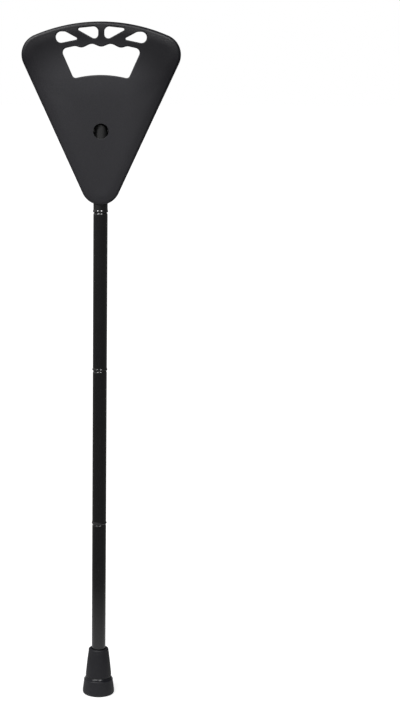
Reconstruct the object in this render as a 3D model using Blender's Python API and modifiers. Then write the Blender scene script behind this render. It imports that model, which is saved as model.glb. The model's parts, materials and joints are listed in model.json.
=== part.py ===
"""Seat cane: a triangular seat plate that turns over on the top of a shaft of four tube sections.

The shaft stands along Z, with the middle of its foot at the origin. While the cane is carried, the
seat lies along the shaft with its outer face towards -Y. To be sat on, it turns 90 degrees about the
pivot, until that face looks up. Units are metres.
"""

import math

import bmesh
import bpy
from mathutils import Euler, Matrix, Vector

MM = 0.001

# Heights above the floor
JOINT_HEIGHTS = (241.4 * MM, 453.85 * MM, 666.3 * MM)
PIVOT_HEIGHT = 773.0 * MM

# Shaft
TUBE_R = 9.5 * MM
TUBE_WALL = 1.2 * MM
BORE_R = TUBE_R - TUBE_WALL
BEAD_R = 10.2 * MM
NECK_LENGTH = 32.0 * MM
STUB_TOP = 7.8 * MM
CORD_R = 2.5 * MM
CORD_HOLE_R = 3.0 * MM

# Seat, in X and Z about the pivot
TIP_CIRCLE = (0.0, -70.0 * MM, 26.0 * MM)
CORNER_CIRCLE = (76.6 * MM, 98.5 * MM, 26.8 * MM)
SEAT_TOP = 140.9 * MM
FRONT_Y = -14.0 * MM
SKIN_Y = -10.0 * MM
BACK_Y = 9.5 * MM
RIM_ROUNDING = 5.0 * MM
RIM_WALL = 3.0 * MM
RIB = 2.8 * MM
DISH_DEPTH = 1.5 * MM
DISH_BLEND = 45.0 * MM
HOLE_FLOOR = 72.5 * MM

# Pivot and button, about the pivot
PIN_R = 3.0 * MM
PIN_HOLE_R = 3.3 * MM
BUSH_HOLE_R = 4.5 * MM
CHANNEL_HALF = 11.0 * MM
EAR_HALF = 16.0 * MM
BUTTON_HOLE_R = 10.0 * MM
BUTTON_SWEEP_R = 15.8 * MM
BUTTON_TRAVEL = 3.5 * MM
PLUG_FLOOR = -22.0 * MM
STEM_FOOT = -10.0 * MM

# Foot
FERRULE_FLOOR = 9.0 * MM
TUBE_FOOT = 10.8 * MM

GAP = 0.3 * MM
ROUND_STEPS = 32
MERGE = 0.00001

for old in list(bpy.data.objects):
    bpy.data.objects.remove(old, do_unlink=True)

parts = bpy.data.collections.new("seat_cane")
cutters = bpy.data.collections.new("cutters")
for group in (parts, cutters):
    bpy.context.scene.collection.children.link(group)


def make_material(name, colour, roughness, metallic):
    material = bpy.data.materials.new(name)
    material.use_nodes = True
    shader = material.node_tree.nodes["Principled BSDF"]
    shader.inputs["Base Color"].default_value = (*colour, 1.0)
    shader.inputs["Roughness"].default_value = roughness
    shader.inputs["Metallic"].default_value = metallic
    return material


def make_frame(name, height, carrier):
    """An empty on the shaft's axis, which the pieces of one body hang from."""
    frame = bpy.data.objects.new(name, None)
    frame.empty_display_size = 20 * MM
    parts.objects.link(frame)
    if carrier:
        frame.parent = carrier
        height -= carrier.matrix_world.translation.z
    frame.location.z = height
    bpy.context.view_layer.update()
    return frame


def add_part(name, mesh, frame, material):
    part = bpy.data.objects.new(name, mesh)
    part.parent = frame
    mesh.materials.append(material)
    parts.objects.link(part)
    if mesh.polygons:
        mesh.shade_smooth()
        mesh.set_sharp_from_angle(angle=math.radians(30))
    return part


def add_cutter(name, mesh, frame):
    cutter = bpy.data.objects.new(name, mesh)
    cutter.parent = frame
    cutter.hide_render = True
    cutter.display_type = "WIRE"
    cutters.objects.link(cutter)
    return cutter


def combine(part, tool, operation="DIFFERENCE"):
    change = part.modifiers.new(tool.name, "BOOLEAN")
    change.operation = operation
    change.solver = "EXACT"
    change.object = tool


def apply_modifiers(part):
    """Puts the evaluated shape in the part's mesh."""
    bpy.context.view_layer.update()
    graph = bpy.context.evaluated_depsgraph_get()
    mesh = bpy.data.meshes.new_from_object(part.evaluated_get(graph))
    part.modifiers.clear()
    part.data = mesh


def arc(centre, radius, start, end, steps):
    """Points on a circle from one angle to another, in degrees."""
    points = []
    for step in range(steps + 1):
        angle = math.radians(start + (end - start) * step / steps)
        points.append((centre[0] + radius * math.cos(angle), centre[1] + radius * math.sin(angle)))
    return points


def tangent_angle(first, second):
    """Direction, in degrees, of the outer side of a belt that runs from one circle to the next."""
    run = Vector((second[0] - first[0], second[1] - first[1]))
    heading = math.atan2(run.y, run.x)
    return math.degrees(heading - math.acos((first[2] - second[2]) / run.length))


def belt(circles, steps=4):
    """Outline of a belt round circles (u, v, radius), listed anticlockwise."""
    points = []
    for i, circle in enumerate(circles):
        start = tangent_angle(circles[i - 1], circle)
        end = tangent_angle(circle, circles[(i + 1) % len(circles)])
        end += 360 * math.ceil((start - end) / 360)
        points += arc(circle, circle[2], start, end, steps)
    return points


def mirrored(outline):
    """The same outline on the other side of X = 0, still anticlockwise."""
    return [(-x, z) for x, z in reversed(outline)]


def extruded_mesh(name, outlines, low, high, across):
    """Flat outlines made solid between two planes across X (outline in Y, Z), Y (X, Z) or Z (X, Y)."""
    turns = {
        "X": Euler((math.pi / 2, 0, math.pi / 2)),
        "Y": Euler((math.pi / 2, 0, 0)),
        "Z": Euler((0, 0, 0)),
    }
    middle = Vector(((low + high) / 2 if axis == across else 0.0 for axis in "XYZ"))
    curve = bpy.data.curves.new(name, "CURVE")
    curve.dimensions = "2D"
    curve.fill_mode = "BOTH"
    curve.extrude = (high - low) / 2
    for outline in outlines:
        spline = curve.splines.new("POLY")
        spline.points.add(len(outline) - 1)
        spline.use_cyclic_u = True
        for point, (u, v) in zip(spline.points, outline):
            point.co = (u, v, 0, 1)
    guide = bpy.data.objects.new(name, curve)
    cutters.objects.link(guide)
    graph = bpy.context.evaluated_depsgraph_get()
    mesh = bpy.data.meshes.new_from_object(guide.evaluated_get(graph))
    bpy.data.objects.remove(guide)
    shape = bmesh.new()
    shape.from_mesh(mesh)
    bmesh.ops.remove_doubles(shape, verts=shape.verts, dist=MERGE)
    bmesh.ops.transform(
        shape, verts=shape.verts, matrix=Matrix.Translation(middle) @ turns[across].to_matrix().to_4x4()
    )
    bmesh.ops.recalc_face_normals(shape, faces=shape.faces)
    shape.to_mesh(mesh)
    shape.free()
    return mesh


def cylinder_mesh(name, radius, low, high, along, steps=ROUND_STEPS):
    """A cylinder about the X, Y or Z axis, between two planes."""
    turns = {"X": Euler((0, math.pi / 2, 0)), "Y": Euler((-math.pi / 2, 0, 0)), "Z": Euler((0, 0, 0))}
    middle = Matrix.Translation((0, 0, (low + high) / 2))
    shape = bmesh.new()
    bmesh.ops.create_cone(
        shape, cap_ends=True, segments=steps, radius1=radius, radius2=radius, depth=high - low,
        matrix=turns[along].to_matrix().to_4x4() @ middle,
    )
    mesh = bpy.data.meshes.new(name)
    shape.to_mesh(mesh)
    shape.free()
    return mesh


def turned(name, profile, frame, material, steps=ROUND_STEPS):
    """A piece turned about Z. Its profile (radius, height) runs down the outer side."""
    mesh = bpy.data.meshes.new(name)
    edges = [(i, i + 1) for i in range(len(profile) - 1)]
    if profile[0][0] > 0:
        edges.append((len(profile) - 1, 0))
    mesh.from_pydata([(radius, 0, height) for radius, height in profile], edges, [])
    part = add_part(name, mesh, frame, material)
    spin = part.modifiers.new("turn", "SCREW")
    spin.axis = "Z"
    spin.angle = math.tau
    spin.steps = steps
    spin.render_steps = steps
    spin.use_merge_vertices = True
    spin.merge_threshold = MERGE
    return part


# Outlines of the seat


def side_normal():
    """Outward direction of the right-hand straight side, in X and Z."""
    angle = math.radians(tangent_angle(TIP_CIRCLE, CORNER_CIRCLE))
    return Vector((math.cos(angle), math.sin(angle)))


def seat_outline():
    """Rounded triangle: two straight sides, a round tip, two round corners and a wide arc on top."""
    side = tangent_angle(TIP_CIRCLE, CORNER_CIRCLE)
    x, z, radius = CORNER_CIRCLE
    reach = SEAT_TOP - radius
    top_centre = (reach**2 - x**2 - z**2) / (2 * (reach - z))
    meet = math.degrees(math.atan2(z - top_centre, x))
    tip = arc(TIP_CIRCLE, TIP_CIRCLE[2], -180 - side, side, 14)
    corner = arc(CORNER_CIRCLE, radius, side, meet, 10)
    top = arc((0, top_centre), SEAT_TOP - top_centre, meet, 180 - meet, 16)
    return tip + corner + top[1:-1] + mirrored(corner)


def floor_edge(x):
    """Height of the hand hole's bottom edge, a shallow arch."""
    arch_r = 137 * MM
    return HOLE_FLOOR - x**2 / (2 * arch_r)


def finger_edge(x):
    """Height of the hand hole's top edge, an arch that dips between the fingers."""
    arch_r = 267 * MM
    crest = 112.6 * MM - x**2 / (2 * arch_r)
    dip = 3.7 * MM
    spacing = 25.2 * MM
    return crest - dip * (1 + math.cos(math.tau * x / spacing)) / 2


def hand_hole_outline():
    lower = (33.25 * MM, 73.1 * MM, 4.5 * MM)
    upper = (43.9 * MM, 101.1 * MM, 6.2 * MM)
    finger = (34.4 * MM, 100.35 * MM, 9.0 * MM)
    side = tangent_angle(lower, upper)
    slope = tangent_angle(upper, finger) + 360
    corners = arc(lower, lower[2], -103, side, 4) + arc(upper, upper[2], side, slope, 5)
    corners += arc(finger, finger[2], slope, 108, 2)
    floor = []
    for step in range(-5, 6):
        x = step * 6.2 * MM
        floor.append((x, floor_edge(x)))
    grip = []
    for step in range(12, -13, -1):
        x = step * 2.45 * MM
        grip.append((x, finger_edge(x)))
    return floor + corners + grip + mirrored(corners)


def window_outlines():
    """Four windows over the hand hole, with slanted struts between them."""
    outer = belt(
        [
            (52.0 * MM, 120.9 * MM, 7.25 * MM),
            (48.5 * MM, 121.9 * MM, 6.2 * MM),
            (33.0 * MM, 118.95 * MM, 1.5 * MM),
        ],
        6,
    )
    inner = belt(
        [
            (9.1 * MM, 124.45 * MM, 5.05 * MM),
            (28.1 * MM, 131.1 * MM, 1.75 * MM),
            (10.4 * MM, 128.3 * MM, 6.4 * MM),
        ],
        6,
    )
    return [outer, mirrored(outer), inner, mirrored(inner)]


def rim_limit(z, fillet):
    """Where a pocket's corner circle at a height just leaves the rim its wall."""
    out = side_normal()
    return (TIP_CIRCLE[2] + out.y * (TIP_CIRCLE[1] - z) - RIM_WALL - fillet) / out.x


def bay(near, low, high, far=None):
    """Pocket between two heights, from one rib out to the rim or to another rib."""
    fillet = 2 * MM
    corners = [(near + fillet, low + fillet, fillet)]
    for z in (low + fillet, high - fillet):
        corners.append((far - fillet if far else rim_limit(z, fillet), z, fillet))
    corners.append((near + fillet, high - fillet, fillet))
    return belt(corners)


def arm_pocket():
    """Hollow beside the hand hole, up to the seat's corner."""
    fillet = 2 * MM
    low = HOLE_FLOOR + 0.5 * MM
    corners = [
        (44.5 * MM, low, fillet),
        (rim_limit(low, fillet), low, fillet),
        (79.0 * MM, 98.0 * MM, 20.0 * MM),
        (64.0 * MM, 112.0 * MM, 2.5 * MM),
        (56.8 * MM, 100.0 * MM, fillet),
    ]
    return belt(corners, 6)


def pocket_outlines():
    """Hollows behind the skin, with the ribs left between them."""
    cheek = CHANNEL_HALF + RIB
    top = HOLE_FLOOR - 6.7 * MM
    split = 38.6 * MM
    shelf_low = -30.5 * MM
    shelf_high = 15.5 * MM
    shelf_middle = 42.4 * MM
    right = [
        bay(cheek, -74 * MM, shelf_low - RIB / 2),
        bay(cheek, shelf_low + RIB / 2, shelf_high - RIB / 2),
        bay(cheek, shelf_high + RIB / 2, top, split),
        bay(split + RIB, shelf_high + RIB / 2, top),
        arm_pocket(),
    ]
    middle = [
        bay(-CHANNEL_HALF, BUTTON_SWEEP_R + RIB, shelf_middle - RIB / 2, CHANNEL_HALF),
        bay(-CHANNEL_HALF, shelf_middle + RIB / 2, top, CHANNEL_HALF),
    ]
    return right + [mirrored(outline) for outline in right] + middle


# Seat


def side_distance(x, z):
    """How far a point lies inside the seat's nearer straight side."""
    out = side_normal()
    return TIP_CIRCLE[2] + out.y * TIP_CIRCLE[1] - out.dot((abs(x), z))


def dish(x, z):
    """Depth of the shallow hollow that is sat in. It fades out at the sides and the hand hole."""
    inside = min(side_distance(x, z), HOLE_FLOOR - z)
    share = max(0.0, min(1.0, inside / DISH_BLEND))
    return DISH_DEPTH * share * share * (3 - 2 * share)


def seat_block():
    """The seat's outside: the outline, rounded well at the front and a little at the back."""
    shape = bmesh.new()
    shape.from_mesh(extruded_mesh("seat_shell", [seat_outline()], FRONT_Y, BACK_Y, "Y"))
    bmesh.ops.dissolve_limit(shape, angle_limit=math.radians(0.5), verts=shape.verts, edges=shape.edges)
    for plane, width, steps in ((FRONT_Y, RIM_ROUNDING, 4), (BACK_Y, 1.0 * MM, 1)):
        rim = [e for e in shape.edges if all(abs(v.co.y - plane) < MERGE for v in e.verts)]
        bmesh.ops.bevel(
            shape, geom=rim, offset=width, offset_type="OFFSET", segments=steps, profile=0.5,
            affect="EDGES",
        )
    mesh = bpy.data.meshes.new("seat_shell")
    shape.to_mesh(mesh)
    shape.free()
    return mesh


def boss_outline():
    """Side view of the block round the pivot, in Y and Z."""
    corners = [(-8.5, -12, 2), (9, -8, 6), (9, 10, 6), (-8.5, 14, 2)]
    return belt([(y * MM, z * MM, radius * MM) for y, z, radius in corners], 6)


def channel_outline():
    """Side view of the room that the shaft needs as the seat turns, in Y and Z."""
    below = -110 * MM
    behind = 30 * MM
    edge = math.degrees(math.acos(SKIN_Y / BUTTON_SWEEP_R))
    crown = arc((0, 0), BUTTON_SWEEP_R, 180 - edge, edge, 12)
    return [(SKIN_Y, below), (behind, below), (behind, -SKIN_Y), (-SKIN_Y, -SKIN_Y), *crown]


def sweep_mesh():
    """Ball that the button's crown turns in, cut flat beside the two cheeks."""
    shape = bmesh.new()
    bmesh.ops.create_uvsphere(shape, u_segments=48, v_segments=24, radius=BUTTON_SWEEP_R)
    bmesh.ops.rotate(shape, verts=shape.verts, matrix=Matrix.Rotation(math.pi / 2, 3, "X"))
    for side in (-1, 1):
        bmesh.ops.bisect_plane(
            shape, geom=shape.verts[:] + shape.edges[:] + shape.faces[:],
            plane_co=(side * CHANNEL_HALF, 0, 0), plane_no=(side, 0, 0), clear_outer=True,
        )
        rim = [e for e in shape.edges if e.is_boundary]
        bmesh.ops.holes_fill(shape, edges=rim)
    bmesh.ops.recalc_face_normals(shape, faces=shape.faces)
    mesh = bpy.data.meshes.new("button_sweep")
    shape.to_mesh(mesh)
    shape.free()
    return mesh


def soften_openings(shape):
    """Rounds the outer edges of the hand hole and the windows."""
    edges = []
    for edge in shape.edges:
        facing = sorted(abs(face.normal.y) for face in edge.link_faces)
        middle = (edge.verts[0].co + edge.verts[1].co) / 2
        if facing[0] < 0.1 and facing[1] > 0.99 and middle.y < SKIN_Y and middle.z > 2 * BUTTON_HOLE_R:
            edges.append(edge)
    bmesh.ops.bevel(
        shape, geom=edges, offset=1.0 * MM, offset_type="OFFSET", segments=2, profile=0.5,
        affect="EDGES",
    )


def press_dish(shape):
    """Cuts the flat outer face into a grid and sinks its points into the dish."""
    spacing = 12 * MM
    for normal, reach in (((1, 0, 0), 8), ((0, 0, 1), 9)):
        for step in range(-reach, reach + 1):
            faces = [f for f in shape.faces if f.calc_center_median().y < FRONT_Y + MERGE]
            edges = {e for f in faces for e in f.edges}
            verts = {v for f in faces for v in f.verts}
            bmesh.ops.bisect_plane(
                shape, geom=faces + list(edges) + list(verts), dist=MERGE,
                plane_co=Vector(normal) * spacing * step, plane_no=normal,
            )
    for vert in shape.verts:
        if vert.co.y < FRONT_Y + MERGE:
            vert.co.y += dish(vert.co.x, vert.co.z)


def make_seat_shell(frame, plastic):
    shell = add_part("seat_shell", seat_block(), frame, plastic)
    boss = extruded_mesh("boss", [boss_outline()], -EAR_HALF, EAR_HALF, "X")
    pockets = extruded_mesh("pockets", pocket_outlines(), SKIN_Y, 12 * MM, "Y")
    channel = extruded_mesh("channel", [channel_outline()], -CHANNEL_HALF, CHANNEL_HALF, "X")
    openings = extruded_mesh(
        "openings", [hand_hole_outline(), *window_outlines()], -20 * MM, 20 * MM, "Y"
    )
    button_hole = cylinder_mesh("button_hole", BUTTON_HOLE_R, -20 * MM, -5 * MM, "Y")
    pin_hole = cylinder_mesh("pin_hole", PIN_HOLE_R, -20 * MM, 20 * MM, "X", 24)
    for mesh, operation in (
        (pockets, "DIFFERENCE"),
        (boss, "UNION"),
        (channel, "DIFFERENCE"),
        (openings, "DIFFERENCE"),
        (pin_hole, "DIFFERENCE"),
        (button_hole, "DIFFERENCE"),
        (sweep_mesh(), "DIFFERENCE"),
    ):
        combine(shell, add_cutter(mesh.name, mesh, frame), operation)
    apply_modifiers(shell)
    shape = bmesh.new()
    shape.from_mesh(shell.data)
    soften_openings(shape)
    press_dish(shape)
    bmesh.ops.triangulate(shape, faces=shape.faces)
    shape.to_mesh(shell.data)
    shape.free()
    shell.data.shade_smooth()
    shell.data.set_sharp_from_angle(angle=math.radians(30))


# Pivot, bushes and button


def make_pivot_pin(frame, steel):
    head_r = 5.0 * MM
    head_from = -EAR_HALF - GAP
    profile = [
        (0, 19.2 * MM),
        (PIN_R - 0.5 * MM, 19.2 * MM),
        (PIN_R, 18.7 * MM),
        (PIN_R, head_from),
        (head_r, head_from),
        (head_r, head_from - 1.4 * MM),
        (head_r - 0.8 * MM, head_from - 2.2 * MM),
        (0, head_from - 2.4 * MM),
    ]
    pin = turned("pivot_pin", profile, frame, steel, 24)
    pin.rotation_euler.y = math.pi / 2


def make_pin_retainer(frame, steel):
    inner = PIN_R + GAP
    outer = 6.0 * MM
    start = EAR_HALF + GAP
    profile = [
        (inner + 0.8 * MM, start + 1.6 * MM),
        (outer, start + 0.9 * MM),
        (outer, start),
        (outer - 1.2 * MM, start),
        (inner, start + 0.9 * MM),
        (inner, start + 1.6 * MM),
    ]
    ring = turned("pin_retainer", profile, frame, steel, 24)
    ring.rotation_euler.y = math.pi / 2


def make_bush(name, side, frame, plastic):
    """Flanged bush: its shank fills the tube's cross hole and its flange is hollowed to the tube."""
    flange_end = CHANNEL_HALF - GAP
    flange = cylinder_mesh(name, 5.2 * MM, BORE_R - 2 * MM, flange_end, "Z", 24)
    bush = add_part(name, flange, frame, plastic)
    bush.rotation_euler.y = side * math.pi / 2
    bore = add_cutter(name + "_bore", cylinder_mesh("bore", PIN_HOLE_R, -20 * MM, 20 * MM, "X", 24), frame)
    seat = add_cutter(name + "_seat", cylinder_mesh("seat", TUBE_R + GAP, -20 * MM, 20 * MM, "Z"), frame)
    shank_low, shank_high = sorted((side * 5.6 * MM, side * (flange_end - 0.5 * MM)))
    shank_mesh = cylinder_mesh("shank", BUSH_HOLE_R - GAP, shank_low, shank_high, "X", 24)
    shank = add_cutter(name + "_shank", shank_mesh, frame)
    combine(bush, seat)
    combine(bush, shank, "UNION")
    combine(bush, bore)


def make_head_plug(frame, plastic):
    bore_r = 5.3 * MM
    outer = BORE_R - GAP
    top = STUB_TOP - GAP
    profile = [
        (bore_r + 0.6 * MM, top),
        (outer - 0.5 * MM, top),
        (outer, top - 0.5 * MM),
        (outer, -25.2 * MM),
        (outer - 0.8 * MM, -26 * MM),
        (2 * MM, -26 * MM),
        (2 * MM, PLUG_FLOOR),
        (bore_r, PLUG_FLOOR),
        (bore_r, top - 0.6 * MM),
    ]
    plug = turned("head_plug", profile, frame, plastic)
    hole = cylinder_mesh("plug_cross_hole", BUSH_HOLE_R, -20 * MM, 20 * MM, "X", 24)
    combine(plug, add_cutter("plug_cross_hole", hole, frame))


def make_release_button(frame, plastic):
    """Round button on a stem, with a slot in the stem that the pivot pin passes through."""
    head_r = 8.9 * MM
    stem_r = 5.0 * MM
    underside = STUB_TOP + GAP + BUTTON_TRAVEL
    profile = [
        (0, 14.6 * MM),
        (4.6 * MM, 14.7 * MM),
        (6.4 * MM, 14.1 * MM),
        (7.7 * MM, 13.4 * MM),
        (8.6 * MM, 12.8 * MM),
        (head_r, 12.3 * MM),
        (head_r, underside),
        (stem_r, underside),
        (stem_r, STEM_FOOT + 0.5 * MM),
        (stem_r - 0.5 * MM, STEM_FOOT),
        (0, STEM_FOOT),
    ]
    button = turned("release_button", profile, frame, plastic)
    slot = belt([(0, 0, PIN_HOLE_R), (0, BUTTON_TRAVEL, PIN_HOLE_R)], 10)
    slot_mesh = extruded_mesh("pin_slot", [slot], -12 * MM, 12 * MM, "X")
    combine(button, add_cutter("pin_slot", slot_mesh, frame))


def make_button_spring(frame, steel):
    """Coil spring under the stem, as one wire."""
    coil_r = 3.9 * MM
    wire_r = 0.45 * MM
    turns = 5
    points_a_turn = 10
    low = PLUG_FLOOR + GAP + wire_r
    high = STEM_FOOT - GAP - wire_r
    curve = bpy.data.curves.new("button_spring", "CURVE")
    curve.dimensions = "3D"
    curve.bevel_depth = wire_r
    curve.bevel_resolution = 1
    curve.use_fill_caps = True
    spline = curve.splines.new("POLY")
    count = turns * points_a_turn
    spline.points.add(count)
    places = []
    for i, point in enumerate(spline.points):
        angle = math.tau * i / points_a_turn
        place = Vector((coil_r * math.cos(angle), coil_r * math.sin(angle), low + (high - low) * i / count))
        point.co = (*place, 1)
        places.append(place)
    spring = bpy.data.objects.new("button_spring", curve)
    spring.parent = frame
    curve.materials.append(steel)
    parts.objects.link(spring)
    gaps = [
        (places[i] - places[j]).length
        for i in range(len(places))
        for j in range(i + points_a_turn // 2, len(places))
    ]
    print("button_spring least gap", round((min(gaps) - 2 * wire_r) / MM, 2), "mm")


# Shaft


def neck_profile(shoulder):
    """Outer side of a narrowed neck and the rounded shoulder below it, from the top down."""
    top = shoulder + NECK_LENGTH
    neck_r = BORE_R - GAP
    return [
        (neck_r - 0.9 * MM, top),
        (neck_r - 0.3 * MM, top - 1.2 * MM),
        (neck_r - 0.1 * MM, top - 3.5 * MM),
        (neck_r, shoulder + 0.5 * MM),
        (neck_r + 0.2 * MM, shoulder - GAP),
        (TUBE_R - 0.6 * MM, shoulder - 0.7 * MM),
        (TUBE_R - 0.15 * MM, shoulder - 1.3 * MM),
        (TUBE_R, shoulder - 2.2 * MM),
    ]


def neck_bore(shoulder):
    """Inside of the neck, from the bottom up."""
    top = shoulder + NECK_LENGTH
    bore = BORE_R - GAP - TUBE_WALL
    return [(BORE_R, shoulder - 4.5 * MM), (bore, shoulder - 0.8 * MM), (bore, top)]


def mouth_profile():
    """Rolled bead at a tube's open lower end, from the tube's side down and then into the bore."""
    return [
        (TUBE_R, 3.6 * MM),
        (TUBE_R + 0.35 * MM, 3.1 * MM),
        (BEAD_R - 0.1 * MM, 2.4 * MM),
        (BEAD_R, 1.7 * MM),
        (BEAD_R - 0.1 * MM, 1.0 * MM),
        (BEAD_R - 0.4 * MM, 0.35 * MM),
        (TUBE_R - 0.2 * MM, 0.0),
        (BORE_R + 0.3 * MM, 0.0),
        (BORE_R, 0.6 * MM),
    ]


def make_section_tube(name, length, frame, metal):
    turned(name, neck_profile(length) + mouth_profile() + neck_bore(length), frame, metal)


def make_lower_tube(frame, metal):
    foot = [(TUBE_R, TUBE_FOOT), (BORE_R, TUBE_FOOT)]
    turned("lower_tube", neck_profile(JOINT_HEIGHTS[0]) + foot + neck_bore(JOINT_HEIGHTS[0]), frame, metal)


def make_stub_tube(frame, metal):
    length = PIVOT_HEIGHT - JOINT_HEIGHTS[2]
    top = length + STUB_TOP
    rim = [(BORE_R, top), (TUBE_R - 0.4 * MM, top), (TUBE_R, top - 0.4 * MM)]
    tube = turned("stub_tube", rim + mouth_profile(), frame, metal)
    hole_mesh = cylinder_mesh("tube_cross_hole", BUSH_HOLE_R, -20 * MM, 20 * MM, "X", 24)
    hole = add_cutter("tube_cross_hole", hole_mesh, frame)
    hole.location.z = length
    combine(tube, hole)


def make_neck_guide(name, shoulder, frame, plastic):
    """Plastic end of a neck, with a flared hole that the cord slides through."""
    top = shoulder + NECK_LENGTH
    sleeve_r = BORE_R - TUBE_WALL - 2 * GAP
    cap_r = BORE_R - TUBE_WALL + 0.1 * MM
    profile = [
        (CORD_HOLE_R + 1.6 * MM, top + 2.6 * MM),
        (cap_r - 0.7 * MM, top + 2.2 * MM),
        (cap_r, top + 1.3 * MM),
        (cap_r, top + GAP),
        (sleeve_r, top + GAP),
        (sleeve_r, top - 9.5 * MM),
        (sleeve_r - 0.5 * MM, top - 10 * MM),
        (CORD_HOLE_R + 0.6 * MM, top - 10 * MM),
        (CORD_HOLE_R, top - 9.4 * MM),
        (CORD_HOLE_R, top + 0.6 * MM),
        (CORD_HOLE_R + 0.5 * MM, top + 1.9 * MM),
    ]
    turned(name, profile, frame, plastic, 24)


def make_cord(name, low, high, frame, rubber):
    profile = [(0, high), (CORD_R, high), (CORD_R, low), (0, low)]
    turned(name, profile, frame, rubber, 16)


def make_cord_plug(name, low, high, frame, plastic):
    outer = BORE_R - GAP
    chamfer = 0.8 * MM
    profile = [
        (CORD_HOLE_R + chamfer, high),
        (outer - chamfer, high),
        (outer, high - chamfer),
        (outer, low + chamfer),
        (outer - chamfer, low),
        (CORD_HOLE_R, low),
        (CORD_HOLE_R, high - chamfer),
    ]
    turned(name, profile, frame, plastic, 24)


def make_cord_crimp(name, low, high, frame, metal):
    """Sleeve squeezed onto the cord's end, with a waist where it was squeezed."""
    inner = CORD_R + GAP
    outer = 4.2 * MM
    middle = (low + high) / 2
    profile = [
        (outer, high),
        (outer, middle + 1.8 * MM),
        (outer - 0.6 * MM, middle + 1.0 * MM),
        (outer - 0.6 * MM, middle - 1.0 * MM),
        (outer, middle - 1.8 * MM),
        (outer, low),
        (inner, low),
        (inner, high),
    ]
    turned(name, profile, frame, metal, 24)


# Foot


def make_ferrule(frame, rubber):
    """Rubber tip: a cone on a wider base, with a ringed and ribbed sole."""
    bore_r = TUBE_R + GAP
    top = 64.4 * MM
    profile = [
        (bore_r + 0.8 * MM, top),
        *arc((11.9 * MM, 62.6 * MM), 1.8 * MM, 90, 10, 4),
        (13.85 * MM, 61.0 * MM),
        (14.3 * MM, 57.2 * MM),
        (15.45 * MM, 48.5 * MM),
        (16.65 * MM, 37.5 * MM),
        (17.5 * MM, 28.5 * MM),
        (17.72 * MM, 25.4 * MM),
        (17.95 * MM, 23.8 * MM),
        (18.4 * MM, 22.5 * MM),
        *arc((18.5 * MM, 19.8 * MM), 1.35 * MM, 60, 0, 3),
        (19.95 * MM, 18.0 * MM),
        (21.7 * MM, 5.2 * MM),
        (21.7 * MM, 4.0 * MM),
        *arc((19.3 * MM, 2.4 * MM), 2.4 * MM, 0, -90, 4),
        (0, 0.0),
        (0, FERRULE_FLOOR),
        (bore_r, FERRULE_FLOOR),
        (bore_r, top - 0.8 * MM),
    ]
    ferrule = turned("ferrule", profile, frame, rubber, 40)
    tread = extruded_mesh("tread", tread_outlines(), -2 * MM, 2 * MM, "Z")
    combine(ferrule, add_cutter("tread", tread, frame))


def tread_outlines():
    """Hollows of the sole: eight cells between an outer and an inner ring, and a groove in that."""
    cells = 8
    rib_half = 2.6
    outlines = []
    for cell in range(cells):
        start = cell * 360 / cells + rib_half
        end = (cell + 1) * 360 / cells - rib_half
        outside = arc((0, 0), 17.2 * MM, start, end, 5)
        inside = arc((0, 0), 11.2 * MM, end - rib_half, start + rib_half, 4)
        outlines.append(outside + inside)
    outlines.append(arc((0, 0), 8.6 * MM, 0, 350, 35))
    outlines.append(arc((0, 0), 4.6 * MM, 0, 340, 17))
    return outlines


def make_ferrule_washer(frame, steel):
    low = FERRULE_FLOOR + GAP
    high = TUBE_FOOT - GAP
    outer = TUBE_R - 0.2 * MM
    profile = [
        (3.0 * MM, high),
        (outer - 0.2 * MM, high),
        (outer, high - 0.2 * MM),
        (outer, low),
        (3.0 * MM, low),
    ]
    turned("ferrule_washer", profile, frame, steel, 24)


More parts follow.
